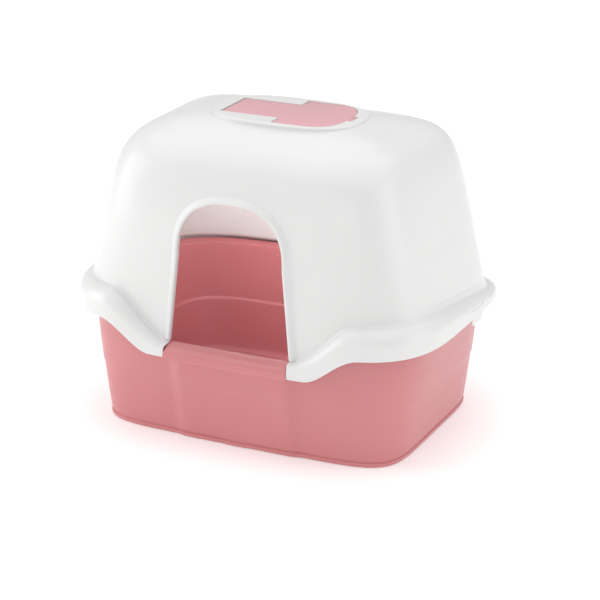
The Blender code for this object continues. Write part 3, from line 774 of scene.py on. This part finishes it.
def make_latch(side, name, material):
    """Swing latch: a barrel with stub pins, and a plate with grip ribs that hangs below the skirt."""
    axis = latch_axis_x()
    outer = HALF_LENGTH - 0.0001
    corner = 0.005
    outline = [(LATCH_Y - LATCH_HALF, LATCH_AXIS_Z), (LATCH_Y - LATCH_HALF, LATCH_BOTTOM_Z + corner)]
    for turn in np.linspace(0, math.pi / 2, 9)[1:]:
        y = LATCH_Y - LATCH_HALF + corner * (1 - math.cos(turn))
        outline.append((y, LATCH_BOTTOM_Z + corner * (1 - math.sin(turn))))
    outline += [(2 * LATCH_Y - y, z) for y, z in reversed(outline)]
    middle = np.array([LATCH_Y, (LATCH_AXIS_Z + LATCH_BOTTOM_Z) / 2])
    rings = []
    inner_face = ((LATCH_THICK, 0.97), (LATCH_THICK - 0.0004, 1.0))
    outer_face = ((0.0005, 1.0), (0.0001, 0.985), (0.0, 0.96))
    for depth, grow in inner_face + outer_face:
        rings.append((middle + (np.array(outline) - middle) * grow, side * (outer - depth)))
    plate = extrude_outline(f"latch_plate_{name}", rings, axis=0)
    ribs = []
    for k in range(3):
        z = LATCH_BOTTOM_Z + 0.0042 + 0.0026 * k
        x = side * (outer - 0.00045)
        ribs.append(
            rod("rib", 0.00055, (x, LATCH_Y - 0.014, z), (x, LATCH_Y + 0.014, z), 16, 0.0003)
        )
    centre = (side * axis, LATCH_Y, LATCH_AXIS_Z)
    ends = [(centre[0], LATCH_Y + LATCH_HALF * k, LATCH_AXIS_Z) for k in (-1, 1)]
    barrel = rod("barrel", LATCH_BARREL, *ends, 32, 0.0003)
    pins = [(centre[0], LATCH_Y + (LATCH_HALF + 0.0026) * k, LATCH_AXIS_Z) for k in (-1, 1)]
    pins = rod("pins", LATCH_PIN, *pins, 20, 0.0002)
    combine(plate, [("UNION", [barrel]), ("UNION", [pins]), ("UNION", ribs)])
    return finish_piece(plate, material, f"latch_{name}", f"latch_{name}")


def make_filter(material):
    """Foam pad with a soft edge and an open, uneven face."""
    low = WELL_FLOOR_Z + 0.0004
    half = WIDE_HALF - WELL_LEDGE - 0.003
    bend = 0.046
    outline = [(WIDE_LEFT + 0.006, -half)]
    for turn in np.linspace(-math.pi / 2, math.pi / 2, 60):
        c, s = math.cos(turn), math.sin(turn)
        x = WIDE_RIGHT - WELL_LEDGE - 0.004 - bend + bend * abs(c) ** END_POWER
        outline.append((x, half * math.copysign(abs(s) ** END_POWER, s)))
    outline.append((WIDE_LEFT + 0.006, half))
    outline = resampled(outline, count(260))
    middle = outline.mean(axis=0)
    rings = []
    inner = np.linspace(0.03, 0.975, count(46))
    rings += [(scale, low) for scale in inner]
    rings += [(0.99, low + 0.0003), (1.0, low + 0.0015)]
    rings += [(1.0, low + FILTER_THICK * share) for share in (0.35, 0.55, 0.75)]
    rings += [(0.995, low + FILTER_THICK - 0.0009), (0.985, low + FILTER_THICK - 0.0003)]
    rings += [(scale, low + FILTER_THICK) for scale in inner[::-1]]
    grid = []
    for scale, z in rings:
        flat = middle + (outline - middle) * scale
        grid.append(np.column_stack([flat, np.full(len(flat), z)]))
    grid = np.array(grid)
    centre_z = low + FILTER_THICK / 2
    for point in grid.reshape(-1, 3):
        cell = noise.noise(Vector(point) * 420.0)
        soft = noise.noise(Vector(point) * 60.0)
        pull = 0.00045 * max(cell, 0.0) * 2 + 0.0002 * (soft + 1)
        point[2] += pull if point[2] < centre_z else -pull
    pad = grid_object("filter_pad", np.transpose(grid, (1, 0, 2)))
    finish_piece(pad, material, "hood", "carbon_filter", sharp=80.0)
    return pad


def resampled(outline, number):
    """The closed outline as evenly spaced points."""
    points = np.array(outline + [outline[0]])
    along = np.concatenate([[0.0], np.cumsum(np.linalg.norm(np.diff(points, axis=0), axis=1))])
    places = np.linspace(0, along[-1], number, endpoint=False)
    return np.column_stack([np.interp(places, along, points[:, k]) for k in (0, 1)])


# ---------------------------------------------------------------- materials


def node(tree, kind, x=0, y=0, **values):
    made = tree.nodes.new(kind)
    made.location = (x, y)
    for key, value in values.items():
        if hasattr(made, key):
            setattr(made, key, value)
        else:
            made.inputs[key.replace("_", " ")].default_value = value
    return made


def moulded_plastic(name, colour, shade, rough, grain=1.0, gloss=0.30, through=0.0):
    """Moulded plastic: cloudy colour, faint flow streaks and scuffs, convex edges lightened partly for wear
    and partly as a painted highlight, and a fine spark-eroded grain.
    """
    material = bpy.data.materials.new(name)
    material.use_nodes = True
    tree = material.node_tree
    link = tree.links.new
    shader = tree.nodes["Principled BSDF"]
    shader.inputs["IOR"].default_value = 1.49
    shader.inputs["Metallic"].default_value = 0.0
    shader.inputs["Coat Weight"].default_value = gloss
    shader.inputs["Coat Roughness"].default_value = 0.20
    shader.inputs["Subsurface Weight"].default_value = through
    shader.inputs["Subsurface Radius"].default_value = (0.006, 0.004, 0.003)
    shader.inputs["Subsurface Scale"].default_value = 0.5
    place = node(tree, "ShaderNodeTexCoord", -1500, 0)
    streaks = node(tree, "ShaderNodeMapping", -1300, -200)
    streaks.inputs["Scale"].default_value = (3.0, 3.0, 26.0)
    link(place.outputs["Object"], streaks.inputs["Vector"])
    cloud = node(tree, "ShaderNodeTexNoise", -1100, 250)
    cloud.inputs["Scale"].default_value = 5.5
    cloud.inputs["Detail"].default_value = 4.0
    cloud.inputs["Roughness"].default_value = 0.55
    link(place.outputs["Object"], cloud.inputs["Vector"])
    flow = node(tree, "ShaderNodeTexNoise", -1100, 0)
    flow.inputs["Scale"].default_value = 1.6
    flow.inputs["Detail"].default_value = 5.0
    link(streaks.outputs["Vector"], flow.inputs["Vector"])
    scuff = node(tree, "ShaderNodeTexNoise", -1100, -250)
    scuff.inputs["Scale"].default_value = 38.0
    scuff.inputs["Detail"].default_value = 6.0
    scuff.inputs["Roughness"].default_value = 0.7
    scuff.inputs["Distortion"].default_value = 1.2
    link(place.outputs["Object"], scuff.inputs["Vector"])
    fine = node(tree, "ShaderNodeTexNoise", -1100, -500)
    fine.inputs["Scale"].default_value = 950.0
    fine.inputs["Detail"].default_value = 3.0
    link(place.outputs["Object"], fine.inputs["Vector"])
    tone = node(tree, "ShaderNodeValToRGB", -850, 250)
    tone.color_ramp.elements[0].position = 0.30
    tone.color_ramp.elements[0].color = (*shade, 1)
    tone.color_ramp.elements[1].position = 0.70
    tone.color_ramp.elements[1].color = (*colour, 1)
    link(cloud.outputs["Fac"], tone.inputs["Fac"])
    # Convex edges made lighter from Pointiness: partly edge wear, partly a painted highlight along the
    # edges.
    edges = node(tree, "ShaderNodeNewGeometry", -1100, 500)
    edge_wear_and_highlight = node(tree, "ShaderNodeMapRange", -850, 500)
    edge_wear_and_highlight.inputs["From Min"].default_value = 0.52
    edge_wear_and_highlight.inputs["From Max"].default_value = 0.62
    edge_wear_and_highlight.inputs["To Min"].default_value = 0.0
    edge_wear_and_highlight.inputs["To Max"].default_value = 0.35
    link(edges.outputs["Pointiness"], edge_wear_and_highlight.inputs["Value"])
    lighter = node(tree, "ShaderNodeMix", -550, 300, data_type="RGBA")
    lighter.inputs["B"].default_value = (*[min(c * 1.12 + 0.02, 1.0) for c in colour], 1)
    link(edge_wear_and_highlight.outputs["Result"], lighter.inputs["Factor"])
    link(tone.outputs["Color"], lighter.inputs["A"])
    link(lighter.outputs["Result"], shader.inputs["Base Color"])
    level = node(tree, "ShaderNodeMapRange", -850, -60)
    level.inputs["From Min"].default_value = 0.3
    level.inputs["From Max"].default_value = 0.7
    level.inputs["To Min"].default_value = rough - 0.04
    level.inputs["To Max"].default_value = rough + 0.05
    link(flow.outputs["Fac"], level.inputs["Value"])
    dull = node(tree, "ShaderNodeMapRange", -850, -320)
    dull.inputs["From Min"].default_value = 0.60
    dull.inputs["From Max"].default_value = 0.72
    dull.inputs["To Min"].default_value = 0.0
    dull.inputs["To Max"].default_value = 0.09
    link(scuff.outputs["Fac"], dull.inputs["Value"])
    total = node(tree, "ShaderNodeMath", -550, -120, operation="ADD")
    link(level.outputs["Result"], total.inputs[0])
    link(dull.outputs["Result"], total.inputs[1])
    link(total.outputs["Value"], shader.inputs["Roughness"])
    bump = node(tree, "ShaderNodeBump", -300, -400)
    bump.inputs["Strength"].default_value = 0.12 * grain
    bump.inputs["Distance"].default_value = 0.0002
    link(fine.outputs["Fac"], bump.inputs["Height"])
    waves = node(tree, "ShaderNodeBump", -100, -400)
    waves.inputs["Strength"].default_value = 0.10
    waves.inputs["Distance"].default_value = 0.0010
    link(cloud.outputs["Fac"], waves.inputs["Height"])
    link(bump.outputs["Normal"], waves.inputs["Normal"])
    link(waves.outputs["Normal"], shader.inputs["Normal"])
    return material


def foam(name):
    """Open-cell charcoal foam."""
    material = bpy.data.materials.new(name)
    material.use_nodes = True
    tree = material.node_tree
    link = tree.links.new
    shader = tree.nodes["Principled BSDF"]
    shader.inputs["Sheen Weight"].default_value = 0.25
    shader.inputs["Sheen Roughness"].default_value = 0.6
    place = node(tree, "ShaderNodeTexCoord", -900, 0)
    cells = node(tree, "ShaderNodeTexVoronoi", -700, 0)
    cells.inputs["Scale"].default_value = 620.0
    grit = node(tree, "ShaderNodeTexNoise", -700, -300)
    grit.inputs["Scale"].default_value = 90.0
    link(place.outputs["Object"], cells.inputs["Vector"])
    link(place.outputs["Object"], grit.inputs["Vector"])
    tone = node(tree, "ShaderNodeValToRGB", -450, 100)
    tone.color_ramp.elements[0].color = (0.006, 0.006, 0.006, 1)
    tone.color_ramp.elements[1].position = 0.6
    tone.color_ramp.elements[1].color = (0.045, 0.045, 0.047, 1)
    link(cells.outputs["Distance"], tone.inputs["Fac"])
    link(tone.outputs["Color"], shader.inputs["Base Color"])
    level = node(tree, "ShaderNodeMapRange", -450, -200)
    level.inputs["To Min"].default_value = 0.82
    level.inputs["To Max"].default_value = 0.98
    link(grit.outputs["Fac"], level.inputs["Value"])
    link(level.outputs["Result"], shader.inputs["Roughness"])
    bump = node(tree, "ShaderNodeBump", -250, -400)
    bump.inputs["Strength"].default_value = 0.8
    bump.inputs["Distance"].default_value = 0.0008
    link(cells.outputs["Distance"], bump.inputs["Height"])
    link(bump.outputs["Normal"], shader.inputs["Normal"])
    return material


def floor_material():
    material = bpy.data.materials.new("floor_pale")
    material.use_nodes = True
    shader = material.node_tree.nodes["Principled BSDF"]
    shader.inputs["Base Color"].default_value = (0.93, 0.93, 0.93, 1)
    shader.inputs["Roughness"].default_value = 0.9
    shader.inputs["Specular IOR Level"].default_value = 0.1
    shader.inputs["Emission Color"].default_value = (1, 1, 1, 1)
    shader.inputs["Emission Strength"].default_value = 0.20
    return material


# ---------------------------------------------------------------- stage


def area_light(name, place, target, size, power, colour=(1, 1, 1), size_y=None):
    data = bpy.data.lights.new(name, "AREA")
    data.energy = power
    data.color = colour
    data.shape = "RECTANGLE"
    data.size = size
    data.size_y = size_y or size
    obj = bpy.data.objects.new(name, data)
    obj.location = place
    obj.rotation_euler = (Vector(target) - Vector(place)).to_track_quat("-Z", "Y").to_euler()
    bpy.context.scene.collection.objects.link(obj)
    return obj


def make_stage():
    scene = bpy.context.scene
    floor = new_object("floor", [(-12, -12, 0), (12, -12, 0), (12, 12, 0), (-12, 12, 0)], [(0, 1, 2, 3)])
    floor.data.materials.append(floor_material())
    world = bpy.data.worlds.new("studio")
    world.use_nodes = True
    world.node_tree.nodes["Background"].inputs["Color"].default_value = (1, 1, 1, 1)
    world.node_tree.nodes["Background"].inputs["Strength"].default_value = 0.50
    scene.world = world
    middle = (0.0, 0.0, 0.22)
    area_light("front", (0.7, -3.0, 1.1), middle, 1.8, 13)
    area_light("left", (-2.4, -1.0, 1.0), middle, 1.5, 25, size_y=2.0)
    area_light("right", (2.5, 0.4, 1.0), middle, 1.8, 12)
    area_light("top", (0.0, 1.2, 4.0), (0.0, 1.2, 0.0), 7.0, 165)
    inside = area_light("inside", (0.0, -0.07, 0.36), (0.0, 0.20, 0.34), 0.28, 1.0, size_y=0.08)
    inside.visible_camera = False
    inside.visible_glossy = False
    scene.view_settings.view_transform = "Standard"
    scene.view_settings.look = "None"


def make_camera():
    data = bpy.data.cameras.new("camera")
    data.lens = 130.37
    data.sensor_width = 36.0
    data.clip_end = 50.0
    camera = bpy.data.objects.new("camera", data)
    place = Vector((1.37609, -2.83371 + BODY_Y, 1.34148))
    target = Vector((0.01924, BODY_Y, 0.17866))
    camera.location = place
    camera.rotation_euler = (target - place).to_track_quat("-Z", "Y").to_euler()
    bpy.context.scene.collection.objects.link(camera)
    bpy.context.scene.camera = camera


def main():
    make_camera()
    make_stage()
    white = moulded_plastic("hood_white", (0.725, 0.725, 0.72), (0.70, 0.70, 0.695), 0.38)
    pink = moulded_plastic("pan_pink", (0.60, 0.212, 0.222), (0.575, 0.196, 0.206), 0.42)
    pale = moulded_plastic("cover_pink", (0.68, 0.355, 0.39), (0.66, 0.34, 0.375), 0.42)
    angles = even_angles(count(560))
    make_pan(angles, pink)
    make_hood(angles, white)
    make_cover(pale)
    make_filter(foam("charcoal_foam"))
    make_latch(-1, "left", white)
    make_latch(1, "right", white)


main()
